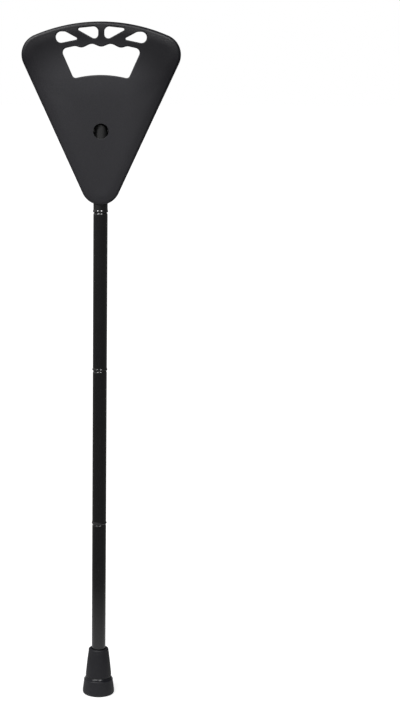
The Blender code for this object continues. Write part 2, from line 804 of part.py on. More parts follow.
def build_cane():
    seat_plastic = make_material("seat_plastic", (0.035, 0.035, 0.04), 0.45, 0.0)
    button_plastic = make_material("button_plastic", (0.02, 0.02, 0.022), 0.4, 0.0)
    inner_plastic = make_material("inner_plastic", (0.03, 0.03, 0.03), 0.5, 0.0)
    bush_plastic = make_material("bush_plastic", (0.015, 0.015, 0.016), 0.4, 0.0)
    tube_metal = make_material("tube_metal", (0.012, 0.012, 0.014), 0.2, 0.3)
    foot_rubber = make_material("foot_rubber", (0.02, 0.02, 0.022), 0.7, 0.0)
    cord_rubber = make_material("cord_rubber", (0.03, 0.03, 0.03), 0.85, 0.0)
    bright_steel = make_material("bright_steel", (0.6, 0.6, 0.62), 0.3, 1.0)
    crimp_metal = make_material("crimp_metal", (0.7, 0.7, 0.7), 0.35, 1.0)

    # Each section's pieces are placed about its own lower joint, which the section slides on
    lower = make_frame("lower_section", 0.0, None)
    middle = make_frame("middle_section", JOINT_HEIGHTS[0], lower)
    upper = make_frame("upper_section", JOINT_HEIGHTS[1], middle)
    stub = make_frame("stub_section", JOINT_HEIGHTS[2], upper)
    head = make_frame("stub_head", PIVOT_HEIGHT, stub)
    seat = make_frame("seat_pivot", PIVOT_HEIGHT, stub)
    section_length = JOINT_HEIGHTS[1] - JOINT_HEIGHTS[0]

    make_seat_shell(seat, seat_plastic)
    make_pivot_pin(seat, bright_steel)
    make_pin_retainer(seat, bright_steel)

    make_bush("pivot_bush_left", -1, head, bush_plastic)
    make_bush("pivot_bush_right", 1, head, bush_plastic)
    make_head_plug(head, inner_plastic)
    make_release_button(head, button_plastic)
    make_button_spring(head, bright_steel)
    make_stub_tube(stub, tube_metal)
    make_cord_plug("upper_cord_plug", 53.5 * MM, 67.5 * MM, stub, inner_plastic)
    make_cord_crimp("upper_cord_crimp", 67.8 * MM, 75.3 * MM, stub, crimp_metal)

    make_section_tube("upper_tube", section_length, upper, tube_metal)
    make_neck_guide("upper_neck_guide", section_length, upper, inner_plastic)
    make_section_tube("middle_tube", section_length, middle, tube_metal)
    make_neck_guide("middle_neck_guide", section_length, middle, inner_plastic)
    make_lower_tube(lower, tube_metal)
    make_neck_guide("lower_neck_guide", JOINT_HEIGHTS[0], lower, inner_plastic)
    make_cord_plug("lower_cord_plug", 28 * MM, 42 * MM, lower, inner_plastic)
    make_cord_crimp("lower_cord_crimp", 20.2 * MM, 27.7 * MM, lower, crimp_metal)

    # The cord is parted half way up the middle and upper tubes, so that each length spans one joint
    half = section_length / 2
    cord_top = JOINT_HEIGHTS[2] + 77 * MM - JOINT_HEIGHTS[1]
    make_cord("shock_cord_lower", 18 * MM, JOINT_HEIGHTS[0] + half - GAP / 2, lower, cord_rubber)
    make_cord("shock_cord_middle", half + GAP / 2, section_length + half - GAP / 2, middle, cord_rubber)
    make_cord("shock_cord_upper", half + GAP / 2, cord_top, upper, cord_rubber)

    make_ferrule(lower, foot_rubber)
    make_ferrule_washer(lower, bright_steel)


build_cane()
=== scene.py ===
"""Looks of the seat cane: finely modelled seat, button, tubes, foot and small parts, and their finishes.

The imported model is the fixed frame. Its boxes and joints give the places that the pieces here are
made to, in metres, with Z up the shaft and -Y out of the seat's outer face.
"""

import json
import math
from contextlib import contextmanager

import bmesh
import bpy
from mathutils import Matrix, Vector

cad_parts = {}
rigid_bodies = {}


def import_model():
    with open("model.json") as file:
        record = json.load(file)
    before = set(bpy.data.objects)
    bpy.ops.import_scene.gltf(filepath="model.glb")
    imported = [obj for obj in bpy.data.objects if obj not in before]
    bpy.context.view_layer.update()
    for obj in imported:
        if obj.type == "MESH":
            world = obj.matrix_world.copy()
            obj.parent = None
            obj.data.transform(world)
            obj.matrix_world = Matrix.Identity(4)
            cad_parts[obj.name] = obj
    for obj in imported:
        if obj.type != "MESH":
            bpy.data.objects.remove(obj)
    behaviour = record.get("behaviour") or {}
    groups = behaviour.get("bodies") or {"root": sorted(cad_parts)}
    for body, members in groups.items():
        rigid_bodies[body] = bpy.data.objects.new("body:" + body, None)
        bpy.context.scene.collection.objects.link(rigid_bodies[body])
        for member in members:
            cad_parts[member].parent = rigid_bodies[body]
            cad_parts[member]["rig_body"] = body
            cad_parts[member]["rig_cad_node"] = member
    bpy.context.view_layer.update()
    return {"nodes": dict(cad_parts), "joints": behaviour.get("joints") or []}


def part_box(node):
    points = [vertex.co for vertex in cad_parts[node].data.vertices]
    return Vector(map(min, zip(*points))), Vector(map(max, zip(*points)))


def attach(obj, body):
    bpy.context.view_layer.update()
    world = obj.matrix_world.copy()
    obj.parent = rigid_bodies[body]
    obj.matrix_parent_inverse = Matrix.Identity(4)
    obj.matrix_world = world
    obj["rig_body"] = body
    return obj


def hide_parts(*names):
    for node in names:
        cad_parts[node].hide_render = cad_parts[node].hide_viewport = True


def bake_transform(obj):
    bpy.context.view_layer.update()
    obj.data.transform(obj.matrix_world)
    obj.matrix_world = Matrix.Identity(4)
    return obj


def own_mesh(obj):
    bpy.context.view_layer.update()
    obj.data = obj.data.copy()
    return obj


for leftover in list(bpy.data.objects):
    bpy.data.objects.remove(leftover, do_unlink=True)

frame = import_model()

MM = 0.001
ROUND_STEPS = 96
SMALL_ROUND_STEPS = 48
LEVEL = 0.01 * MM
THROUGH = 20 * MM

# Places read from the frame
JOINTS = {joint["name"]: joint for joint in frame["joints"]}
PIVOT = Vector(JOINTS["seat_flip"]["pos_m"])
SEAT_LOW, SEAT_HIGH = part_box("seat_shell")
TUBE_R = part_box("lower_tube")[1].x
BEAD_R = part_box("middle_tube")[1].x
FOOT_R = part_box("ferrule")[1].x
FOOT_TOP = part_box("ferrule")[1].z

# Shaft
TUBE_WALL = 1.2 * MM
BORE_R = TUBE_R - TUBE_WALL
NECK_R = BORE_R - 0.3 * MM
NECK_LENGTH = 32.0 * MM
CROSS_HOLE_R = 4.5 * MM

# Seat, in X and Z about the pivot
TIP_DISC = (0.0, -70.0 * MM, 26.0 * MM)
CORNER_DISC = (76.6 * MM, 98.5 * MM, 26.8 * MM)
SEAT_TOP = SEAT_HIGH.z - PIVOT.z
FRONT_Y = SEAT_LOW.y
SKIN_Y = FRONT_Y + 4.0 * MM
BACK_Y = 9.5 * MM
RIM_ROUNDING = 5.0 * MM
RIM_WALL = 3.0 * MM
RIB = 2.8 * MM
CROWN_WIDTH = 10.0 * MM
CROWN_DEPTH = 0.8 * MM
DISH_DEPTH = 1.5 * MM
DISH_BLEND = 45.0 * MM
HOLE_FLOOR = 72.5 * MM
CHANNEL_HALF = 11.0 * MM
EAR_HALF = 16.0 * MM
BUTTON_HOLE_R = 10.0 * MM
BUTTON_SWEEP_R = 15.8 * MM
PIN_HOLE_R = 3.3 * MM


# Modelling steps


def select_only(*pieces):
    bpy.ops.object.select_all(action="DESELECT")
    for piece in pieces:
        piece.select_set(True)
    bpy.context.view_layer.objects.active = pieces[0]


def new_piece(name):
    """Names the primitive that was just added, and puts its place into its mesh."""
    piece = bpy.context.object
    piece.name = name
    piece.data.name = name
    select_only(piece)
    bpy.ops.object.transform_apply(location=True, rotation=True, scale=True)
    return piece


@contextmanager
def editing(piece):
    select_only(piece)
    bpy.ops.object.mode_set(mode="EDIT")
    yield
    bpy.ops.object.mode_set(mode="OBJECT")


def pick(piece, kind, test):
    """In edit mode, selects the edges or faces that pass a test."""
    bpy.ops.mesh.select_mode(type=kind)
    bpy.ops.mesh.select_all(action="DESELECT")
    shape = bmesh.from_edit_mesh(piece.data)
    for item in {"EDGE": shape.edges, "FACE": shape.faces}[kind]:
        item.select_set(test(item))
    bmesh.update_edit_mesh(piece.data)


def apply_all(piece):
    select_only(piece)
    for modifier in list(piece.modifiers):
        bpy.ops.object.modifier_apply(modifier=modifier.name)


def trim(piece, place, outward):
    """Cuts a piece off flat at a plane and closes it."""
    with editing(piece):
        bpy.ops.mesh.select_all(action="SELECT")
        bpy.ops.mesh.bisect(plane_co=place, plane_no=outward, clear_outer=True, use_fill=True)


def joined(pieces):
    """One piece of several, which keep their places."""
    select_only(*pieces)
    bpy.ops.object.join()
    return pieces[0]


def combine(piece, tool, operation="DIFFERENCE"):
    """Cuts a tool from a piece, or joins it on, and throws the tool away."""
    change = piece.modifiers.new("combine", "BOOLEAN")
    change.operation = operation
    change.solver = "EXACT"
    change.object = tool
    apply_all(piece)
    bpy.data.objects.remove(tool, do_unlink=True)


def smooth(piece, angle=32):
    select_only(piece)
    bpy.ops.object.shade_smooth_by_angle(angle=math.radians(angle))


def arc(centre, radius, start, end, steps):
    """Points (radius, height) on a circle from one angle to another, in degrees."""
    points = []
    for step in range(steps + 1):
        angle = math.radians(start + (end - start) * step / steps)
        points.append((centre[0] + radius * math.cos(angle), centre[1] + radius * math.sin(angle)))
    return points


def turn(name, profile, base=0.0, steps=ROUND_STEPS):
    """A turned piece: a ring is extruded along the profile (radius, distance) and closed.

    The profile ends where it began on a piece with a hole, and each end is filled on one without.
    """
    bpy.ops.object.select_all(action="DESELECT")
    radius, height = profile[0]
    bpy.ops.mesh.primitive_circle_add(vertices=steps, radius=radius, location=(0, 0, base + height))
    piece = new_piece(name)
    hollow = profile[0] == profile[-1]
    with editing(piece):
        bpy.ops.mesh.select_all(action="SELECT")
        if not hollow:
            bpy.ops.mesh.edge_face_add()
            pick(piece, "EDGE", lambda edge: True)
        for (r0, h0), (r1, h1) in zip(profile, profile[1:]):
            bpy.ops.mesh.extrude_edges_move(TRANSFORM_OT_translate={"value": (0, 0, h1 - h0)})
            scale = r1 / r0
            bpy.ops.transform.resize(value=(scale, scale, 1), center_override=(0, 0, base + h1))
        if not hollow:
            bpy.ops.mesh.edge_face_add()
        bpy.ops.mesh.select_all(action="SELECT")
        bpy.ops.mesh.remove_doubles(threshold=0.005 * MM)
        bpy.ops.mesh.normals_make_consistent(inside=False)
    smooth(piece)
    return piece


def hull(name, discs, low, high, across="Y", steps=ROUND_STEPS):
    """Block with the outline of a belt round discs (u, v, radius), hulled from upright cylinders.

    Discs lie in X and Z across Y, or in Y and Z across X, and both are about the pivot.
    """
    cylinders = []
    middle = (low + high) / 2
    for u, v, radius in discs:
        place = (u, middle, v) if across == "Y" else (middle, u, v)
        turned = (math.pi / 2, 0, 0) if across == "Y" else (0, math.pi / 2, 0)
        bpy.ops.object.select_all(action="DESELECT")
        bpy.ops.mesh.primitive_cylinder_add(
            vertices=steps, radius=radius, depth=high - low,
            location=Vector(place) + Vector((0, 0, PIVOT.z)), rotation=turned,
        )
        cylinders.append(bpy.context.object)
    select_only(*cylinders)
    if len(cylinders) > 1:
        bpy.ops.object.join()
    block = new_piece(name)
    with editing(block):
        bpy.ops.mesh.select_all(action="SELECT")
        bpy.ops.mesh.convex_hull(join_triangles=False)
        bpy.ops.mesh.select_all(action="SELECT")
        bpy.ops.mesh.dissolve_limited(angle_limit=math.radians(0.3))
        bpy.ops.mesh.select_all(action="SELECT")
        bpy.ops.mesh.normals_make_consistent(inside=False)
    return block


def mirror_discs(discs):
    return [(-u, v, radius) for u, v, radius in discs]


def lies_in(edge, plane):
    """Whether an edge lies in a plane across Y."""
    return all(abs(vert.co.y - plane) < LEVEL for vert in edge.verts)


def off_pivot(vert):
    """Distance from the pivot, seen from the front."""
    return (vert.co.xz - PIVOT.xz).length


# Seat


def side_normal():
    """Outward direction of the right-hand straight side, in X and Z."""
    run = Vector((CORNER_DISC[0] - TIP_DISC[0], CORNER_DISC[1] - TIP_DISC[1]))
    heading = math.atan2(run.y, run.x) - math.acos((TIP_DISC[2] - CORNER_DISC[2]) / run.length)
    return Vector((math.cos(heading), math.sin(heading)))


def side_direction():
    """Direction of the right-hand straight side from the tip up, in X and Z."""
    out = side_normal()
    return Vector((-out.y, out.x))


def top_disc():
    """Centre height and radius of the great disc whose top ends the plate and meets both corners."""
    x, z, radius = CORNER_DISC
    reach = SEAT_TOP - radius
    centre = (reach**2 - x**2 - z**2) / (2 * (reach - z))
    return centre, SEAT_TOP - centre


def edge_distance(x, z):
    """Distance in from the plate's outline."""
    from_tip = Vector((abs(x), z)) - Vector(TIP_DISC[:2])
    from_corner = Vector((abs(x), z)) - Vector(CORNER_DISC[:2])
    centre, radius = top_disc()
    to_corner = Vector((CORNER_DISC[0], CORNER_DISC[1] - centre)).normalized()
    past_side = from_corner.dot(side_direction()) > 0
    past_top = from_corner.dot((to_corner.y, -to_corner.x)) > 0
    if past_side and past_top:
        return CORNER_DISC[2] - from_corner.length
    if from_tip.dot(side_direction()) < 0:
        return TIP_DISC[2] - from_tip.length
    side = TIP_DISC[2] - from_tip.dot(side_normal())
    return min(side, radius - math.hypot(x, z - centre))


def rim_limit(z, fillet):
    """Where a pocket's corner disc at a height just leaves the rim its wall."""
    out = side_normal()
    return (TIP_DISC[2] + out.y * (TIP_DISC[1] - z) - RIM_WALL - fillet) / out.x


def on_front(face):
    """Whether a face lies in the plate's flat outer face."""
    return all(vert.co.y < FRONT_Y + LEVEL for vert in face.verts)


def seat_block():
    """Tip disc, corner discs and the top of one great disc, hulled, with the rim rounded."""
    x, z = CORNER_DISC[:2]
    centre, radius = top_disc()
    bpy.ops.object.select_all(action="DESELECT")
    bpy.ops.mesh.primitive_cylinder_add(
        vertices=360, radius=radius, depth=BACK_Y - FRONT_Y,
        location=(0, (FRONT_Y + BACK_Y) / 2, PIVOT.z + centre), rotation=(math.pi / 2, 0, 0),
    )
    top = new_piece("top_arc")
    meet = x * radius / math.hypot(x, z - centre)
    trim(top, (meet, 0, 0), (1, 0, 0))
    trim(top, (-meet, 0, 0), (-1, 0, 0))
    trim(top, (0, 0, PIVOT.z + z), (0, 0, -1))
    block = hull("seat_plate", [TIP_DISC, CORNER_DISC, *mirror_discs([CORNER_DISC])], FRONT_Y, BACK_Y)
    select_only(block, top)
    bpy.ops.object.join()
    with editing(block):
        bpy.ops.mesh.select_all(action="SELECT")
        bpy.ops.mesh.convex_hull(join_triangles=False)
        bpy.ops.mesh.select_all(action="SELECT")
        bpy.ops.mesh.remove_doubles(threshold=0.5 * MM)
        bpy.ops.mesh.select_all(action="SELECT")
        bpy.ops.mesh.dissolve_limited(angle_limit=math.radians(0.2))
        bpy.ops.mesh.select_all(action="SELECT")
        bpy.ops.mesh.normals_make_consistent(inside=False)
        for plane, width, steps in ((FRONT_Y, RIM_ROUNDING, 9), (BACK_Y, 1.0 * MM, 3)):
            pick(block, "EDGE", lambda edge: lies_in(edge, plane))
            bpy.ops.mesh.bevel(offset=width, segments=steps, profile=0.5, affect="EDGES")
        pick(block, "FACE", on_front)
        rings = 5
        for _ in range(rings):
            bpy.ops.mesh.inset(thickness=CROWN_WIDTH / rings, use_even_offset=True)
    return block


def soften_floor(tool, plane, width=1.2 * MM):
    """Rounds a pocket tool's end, so that the pocket's floor has a fillet."""
    with editing(tool):
        pick(tool, "EDGE", lambda edge: lies_in(edge, plane))
        bpy.ops.mesh.bevel(offset=width, segments=4, profile=0.5, affect="EDGES")


def bay(near, low, high, far=None):
    """Pocket between two heights, from one rib out to the rim or to another rib."""
    fillet = 2 * MM
    discs = [(near + fillet, low + fillet, fillet), (near + fillet, high - fillet, fillet)]
    for z in (low + fillet, high - fillet):
        discs.append((far - fillet if far else rim_limit(z, fillet), z, fillet))
    return discs


def pockets():
    """Discs of every hollow behind the skin, with the ribs left between them."""
    cheek = CHANNEL_HALF + RIB
    top = HOLE_FLOOR - 6.7 * MM
    split = 38.6 * MM
    shelf_low = -30.5 * MM
    shelf_high = 15.5 * MM
    shelf_middle = 42.4 * MM
    arm_low = HOLE_FLOOR + 0.5 * MM
    arm = [
        (44.5 * MM, arm_low, 2 * MM),
        (rim_limit(arm_low, 2 * MM), arm_low, 2 * MM),
        (79.0 * MM, 98.0 * MM, 20.0 * MM),
        (64.0 * MM, 112.0 * MM, 2.5 * MM),
        (56.8 * MM, 100.0 * MM, 2 * MM),
    ]
    right = [
        bay(cheek, -74 * MM, shelf_low - RIB / 2),
        bay(cheek, shelf_low + RIB / 2, shelf_high - RIB / 2),
        bay(cheek, shelf_high + RIB / 2, top, split),
        bay(split + RIB, shelf_high + RIB / 2, top),
        arm,
    ]
    middle = [
        bay(-CHANNEL_HALF, BUTTON_SWEEP_R + RIB, shelf_middle - RIB / 2, CHANNEL_HALF),
        bay(-CHANNEL_HALF, shelf_middle + RIB / 2, top, CHANNEL_HALF),
    ]
    return right + [mirror_discs(discs) for discs in right] + middle


def floor_edge(x):
    """Height of the hand hole's bottom edge, a shallow arch."""
    arch_r = 137 * MM
    return HOLE_FLOOR - x**2 / (2 * arch_r)


def finger_edge(x):
    """Height of the hand hole's top edge, an arch that dips between the fingers."""
    arch_r = 267 * MM
    crest = 112.6 * MM - x**2 / (2 * arch_r)
    dip = 3.7 * MM
    spacing = 25.2 * MM
    return crest - dip * (1 + math.cos(math.tau * x / spacing)) / 2


def hand_hole_tool():
    """Six corner discs, hulled, with an arched floor and a wavy top for the fingers."""
    lower = (33.25 * MM, 73.1 * MM, 4.5 * MM)
    upper = (43.9 * MM, 101.1 * MM, 6.2 * MM)
    finger = (34.4 * MM, 100.35 * MM, 9.0 * MM)
    discs = [lower, upper, finger]
    tool = hull("hand_hole", discs + mirror_discs(discs), -THROUGH, THROUGH)
    floor = PIVOT.z + lower[1] - lower[2]
    top = PIVOT.z + finger[1] + finger[2]

    def level(vert, height):
        return abs(vert.co.z - height) < 0.02 * MM

    def long_edge(edge, height):
        first, last = edge.verts
        return level(first, height) and level(last, height) and abs(first.co.x - last.co.x) > 50 * MM

    with editing(tool):
        for height, cuts in ((top, 89), (floor, 39)):
            pick(tool, "EDGE", lambda edge: long_edge(edge, height))
            bpy.ops.mesh.subdivide(number_cuts=cuts)
        shape = bmesh.from_edit_mesh(tool.data)
        for vert in shape.verts:
            x = abs(vert.co.x)
            if level(vert, top) and x < 31.3 * MM:
                vert.co.z = PIVOT.z + finger_edge(x)
            elif level(vert, top) and x < finger[0]:
                vert.co.z = PIVOT.z + finger[1] + math.sqrt(finger[2] ** 2 - (x - finger[0]) ** 2)
            elif level(vert, floor) and x < 32.2 * MM:
                vert.co.z = PIVOT.z + floor_edge(x)
        bmesh.update_edit_mesh(tool.data)
    return tool


def window_tools():
    """Four windows over the hand hole, with slanted struts between them."""
    outer = [
        (52.0 * MM, 120.9 * MM, 7.25 * MM),
        (48.5 * MM, 121.9 * MM, 6.2 * MM),
        (33.0 * MM, 118.95 * MM, 1.5 * MM),
    ]
    inner = [
        (9.1 * MM, 124.45 * MM, 5.05 * MM),
        (28.1 * MM, 131.1 * MM, 1.75 * MM),
        (10.4 * MM, 128.3 * MM, 6.4 * MM),
    ]
    shapes = [outer, mirror_discs(outer), inner, mirror_discs(inner)]
    return [hull("window", discs, -THROUGH, THROUGH) for discs in shapes]


def sweep_tool():
    """Ball that the button's crown turns in, cut flat beside the two cheeks."""
    bpy.ops.object.select_all(action="DESELECT")
    bpy.ops.mesh.primitive_uv_sphere_add(
        segments=84, ring_count=42, radius=BUTTON_SWEEP_R, location=PIVOT,
        rotation=(math.pi / 2, math.radians(1), 0),
    )
    ball = new_piece("button_sweep")
    trim(ball, (CHANNEL_HALF, 0, 0), (1, 0, 0))
    trim(ball, (-CHANNEL_HALF, 0, 0), (-1, 0, 0))
    trim(ball, (0, SKIN_Y + 0.5 * MM, 0), (0, 1, 0))
    return ball


def boss_block():
    """Block round the pivot that both cheeks are left from."""
    discs = [
        (-8.5 * MM, -12 * MM, 2 * MM),
        (9 * MM, -8 * MM, 6 * MM),
        (9 * MM, 10 * MM, 6 * MM),
        (-8.5 * MM, 14 * MM, 2 * MM),
    ]
    return hull("boss", discs, -EAR_HALF, EAR_HALF, "X")


def shaft_room_tool():
    """Straight room for the shaft, from below the tip up to the bar that the opened seat stops on."""
    stop_gap = 0.05 * MM
    low = Vector((-CHANNEL_HALF, SKIN_Y, -110 * MM))
    high = Vector((CHANNEL_HALF, 30 * MM, BACK_Y + stop_gap))
    place = (low + high) / 2 + Vector((0, 0, PIVOT.z))
    bpy.ops.object.select_all(action="DESELECT")
    bpy.ops.mesh.primitive_cube_add(size=1, location=place, scale=high - low)
    return new_piece("shaft_room")


def crown_room_tool():
    """Round room over the tube's end, between the skin and the stop bar."""
    tool = hull("crown_room", [(0, 0, BUTTON_SWEEP_R + 0.1 * MM)], -CHANNEL_HALF, CHANNEL_HALF, "X")
    trim(tool, (0, BACK_Y, 0), (0, 1, 0))
    trim(tool, (0, -BACK_Y, 0), (0, -1, 0))
    trim(tool, PIVOT, (0, 0, -1))
    return tool


def soften_openings(plate):
    """Rounds the outer edges of the openings, the button hole and the ribs behind."""

    def sharp(edge):
        across = sorted(abs(face.normal.y) for face in edge.link_faces)
        return across[0] < 0.1 and across[1] > 0.99

    def opening(edge):
        middle = (edge.verts[0].co + edge.verts[1].co) / 2
        return sharp(edge) and abs(middle.y - FRONT_Y) < LEVEL

    def round_hole(edge):
        return opening(edge) and all(off_pivot(vert) < BUTTON_HOLE_R + 1 * MM for vert in edge.verts)

    def upper_opening(edge):
        return opening(edge) and off_pivot(edge.verts[0]) > 4 * BUTTON_HOLE_R

    def rib_edge(edge):
        behind = max(face.normal.y for face in edge.link_faces) > 0.99
        return sharp(edge) and behind and lies_in(edge, BACK_Y)

    rounds = ((round_hole, 0.4 * MM, 3), (upper_opening, 1.2 * MM, 4), (rib_edge, 0.4 * MM, 2))
    with editing(plate):
        for test, width, steps in rounds:
            pick(plate, "EDGE", test)
            bpy.ops.mesh.bevel(offset=width, segments=steps, profile=0.5, affect="EDGES")
        bpy.ops.mesh.select_all(action="SELECT")
        bpy.ops.mesh.remove_doubles(threshold=0.005 * MM)


def face_depth(x, z):
    """How far the outer face lies back: the hollow that is sat in, and the crown along the rim.

    The hollow fades out at the sides and at the hand hole.
    """
    inward = edge_distance(x, z)
    share = max(0.0, min(1.0, min(inward, HOLE_FLOOR - z) / DISH_BLEND))
    hollow = DISH_DEPTH * share * share * (3 - 2 * share)
    slope = max(0.0, min(1.0, (RIM_ROUNDING + CROWN_WIDTH - inward) / CROWN_WIDTH))
    return hollow + CROWN_DEPTH * slope * slope


def shape_face(plate):
    """Cuts the flat outer face into a grid and sinks its points, and less so those just behind it.

    The upright cuts lie half a step off the middle, clear of the windows' corners.
    """
    spacing = 5 * MM
    cuts = [((1, 0, 0), step + 0.5) for step in range(-18, 18)]
    cuts += [((0, 0, 1), step) for step in range(-17, 15)]
    with editing(plate):
        for normal, step in cuts:
            pick(plate, "FACE", on_front)
            bpy.ops.mesh.bisect(plane_co=PIVOT + Vector(normal) * spacing * step, plane_no=normal)
        shape = bmesh.from_edit_mesh(plate.data)
        for vert in shape.verts:
            share = 1 - (vert.co.y - FRONT_Y) / (SKIN_Y - FRONT_Y)
            if share > 0:
                vert.co.y += share * face_depth(vert.co.x, vert.co.z - PIVOT.z)
        bmesh.update_edit_mesh(plate.data)


def make_seat():
    plate = seat_block()
    past_back = 12 * MM
    hollows = [hull("pocket", discs, SKIN_Y, past_back, steps=SMALL_ROUND_STEPS) for discs in pockets()]
    for hollow in hollows:
        soften_floor(hollow, SKIN_Y)
    combine(plate, joined(hollows))
    combine(plate, boss_block(), "UNION")
    combine(plate, shaft_room_tool())
    combine(plate, crown_room_tool())
    combine(plate, sweep_tool())
    combine(plate, hull("pin_hole", [(0, 0, PIN_HOLE_R)], -THROUGH, THROUGH, "X", SMALL_ROUND_STEPS))
    behind_skin = -5 * MM
    button_hole = hull("button_hole", [(0, 0, BUTTON_HOLE_R)], -THROUGH, behind_skin)
    combine(plate, joined([button_hole, hand_hole_tool(), *window_tools()]))
    soften_openings(plate)
    shape_face(plate)
    with editing(plate):
        bpy.ops.mesh.select_all(action="SELECT")
        bpy.ops.mesh.quads_convert_to_tris()
    smooth(plate)
    even = plate.modifiers.new("even_shading", "WEIGHTED_NORMAL")
    even.keep_sharp = True
    apply_all(plate)
    return plate


# Tubes


def neck(shoulder):
    """Narrowed neck from its lip down, with the rounded shoulder that the next tube rests on."""
    top = shoulder + NECK_LENGTH
    lip = arc((NECK_R - 0.9 * MM, top - 0.55 * MM), 0.55 * MM, 90, 5, 5)
    root = [
        (NECK_R - 0.1 * MM, top - 3.5 * MM),
        (NECK_R, shoulder + 6.0 * MM),
        (NECK_R, shoulder + 0.7 * MM),
        (NECK_R + 0.05 * MM, shoulder + 0.2 * MM),
        (NECK_R + 0.2 * MM, shoulder - 0.2 * MM),
    ]
    rounding = []
    for step in range(1, 9):
        angle = step * math.pi / 16
        rounding.append((
            NECK_R + 0.2 * MM + (TUBE_R - NECK_R - 0.2 * MM) * math.sin(angle),
            shoulder - 0.3 * MM - 3.0 * MM * (1 - math.cos(angle)),
        ))
    return lip + root + rounding


def mouth():
    """Rolled bead at a tube's open lower end, from the tube's side down and then into the bore."""
    fillet = [
        (TUBE_R, 4.2 * MM),
        (TUBE_R + 0.03 * MM, 3.85 * MM),
        (TUBE_R + 0.12 * MM, 3.5 * MM),
        (TUBE_R + 0.26 * MM, 3.1 * MM),
    ]
    roll = 1.7 * MM
    bead = arc((BEAD_R - roll, roll), roll, 30, -84, 12)
    return fillet + bead + [(BORE_R + 0.1 * MM, 0.12 * MM), (BORE_R, 0.6 * MM)]


def neck_bore(shoulder):
    bore = NECK_R - TUBE_WALL
    top = shoulder + NECK_LENGTH
    return [
        (BORE_R, shoulder - 4.5 * MM),
        (bore + 0.4 * MM, shoulder - 1.6 * MM),
        (bore, shoulder - 0.8 * MM),
        (bore, top - 0.3 * MM),
        (bore + 0.15 * MM, top - 0.05 * MM),
    ]


def make_section_tube(node, name):
    low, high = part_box(node)
    shoulder = high.z - low.z - NECK_LENGTH
    profile = neck(shoulder) + mouth() + neck_bore(shoulder)
    return turn(name, profile + profile[:1], base=low.z)


def make_lower_tube(name):
    low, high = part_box("lower_tube")
    shoulder = high.z - NECK_LENGTH
    foot = [(TUBE_R, low.z + 0.2 * MM), (TUBE_R - 0.2 * MM, low.z), (BORE_R, low.z)]
    profile = neck(shoulder) + foot + neck_bore(shoulder)
    return turn(name, profile + profile[:1])


def make_stub_tube(name):
    low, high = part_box("stub_tube")
    length = high.z - low.z
    rim = [(BORE_R, length - 0.2 * MM), (BORE_R + 0.2 * MM, length)]
    rim += arc((TUBE_R - 0.4 * MM, length - 0.4 * MM), 0.4 * MM, 90, 0, 4)
    profile = rim + mouth()
    tube = turn(name, profile + profile[:1], base=low.z)
    combine(tube, hull("cross_hole", [(0, 0, CROSS_HOLE_R)], -THROUGH, THROUGH, "X", SMALL_ROUND_STEPS))
    smooth(tube)
    return tube


# Button


def make_button():
    """Crowned button with a slightly hollow top, on a stem with a slot for the pivot pin."""
    head_r = 8.9 * MM
    stem_r = 5.0 * MM
    underside = 11.6 * MM
    foot = -10.0 * MM
    crown_r = 15.42 * MM
    profile = [(1.5 * MM, 14.6 * MM), (3.0 * MM, 14.62 * MM)]
    profile += [(4.0 * MM, 14.66 * MM), (4.5 * MM, 14.69 * MM)]
    profile += arc((0, 0), crown_r, 72, 56.6, 9)
    profile += [
        (head_r - 0.17 * MM, 12.6 * MM),
        (head_r, 12.25 * MM),
        (head_r, underside + 0.3 * MM),
        (head_r - 0.3 * MM, underside),
        (stem_r + 0.4 * MM, underside),
        (stem_r, underside - 0.4 * MM),
        (stem_r, foot + 0.5 * MM),
        (stem_r - 0.5 * MM, foot),
    ]
    button = turn("button_cap", profile, base=PIVOT.z)
    travel = JOINTS["button_press"]["range_m"][1]
    slot = [(0, 0, PIN_HOLE_R), (0, travel, PIN_HOLE_R)]
    combine(button, hull("pin_slot", slot, -THROUGH, THROUGH, "X", SMALL_ROUND_STEPS))
    smooth(button)
    return button


def make_spring():
    """Coil spring: a wire's round section wound up round the stem's axis."""
    low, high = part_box("button_spring")
    wire_r = 0.45 * MM
    coil_r = high.x - wire_r
    turns = 5
    bpy.ops.object.select_all(action="DESELECT")
    bpy.ops.mesh.primitive_circle_add(
        vertices=12, radius=wire_r, location=(coil_r, 0, low.z + 0.5 * MM), rotation=(math.pi / 2, 0, 0)
    )
    spring = new_piece("return_spring")
    wind = spring.modifiers.new("wind", "SCREW")
    wind.axis = "Z"
    wind.angle = math.tau
    wind.screw_offset = (high.z - low.z - 1.0 * MM) / turns
    wind.iterations = turns
    wind.steps = 36
    wind.render_steps = 36
    apply_all(spring)
    with editing(spring):
        bpy.ops.mesh.select_all(action="SELECT")
        bpy.ops.mesh.remove_doubles(threshold=0.01 * MM)
        bpy.ops.mesh.fill_holes(sides=0)
        bpy.ops.mesh.select_all(action="SELECT")
        bpy.ops.mesh.normals_make_consistent(inside=False)
    smooth(spring, 60)
    return spring


# Cord and small parts


def make_cord(node, name):
    """One length of the elastic cord, in rings close enough to stretch evenly."""
    low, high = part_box(node)
    radius = high.x
    spacing = 4 * MM
    count = round((high.z - low.z) / spacing)
    profile = [(radius - 0.4 * MM, high.z), (radius, high.z - 0.4 * MM)]
    for step in range(1, count):
        profile.append((radius, high.z - (high.z - low.z) * step / count))
    profile += [(radius, low.z + 0.4 * MM), (radius - 0.4 * MM, low.z)]
    return turn(name, profile, steps=32)


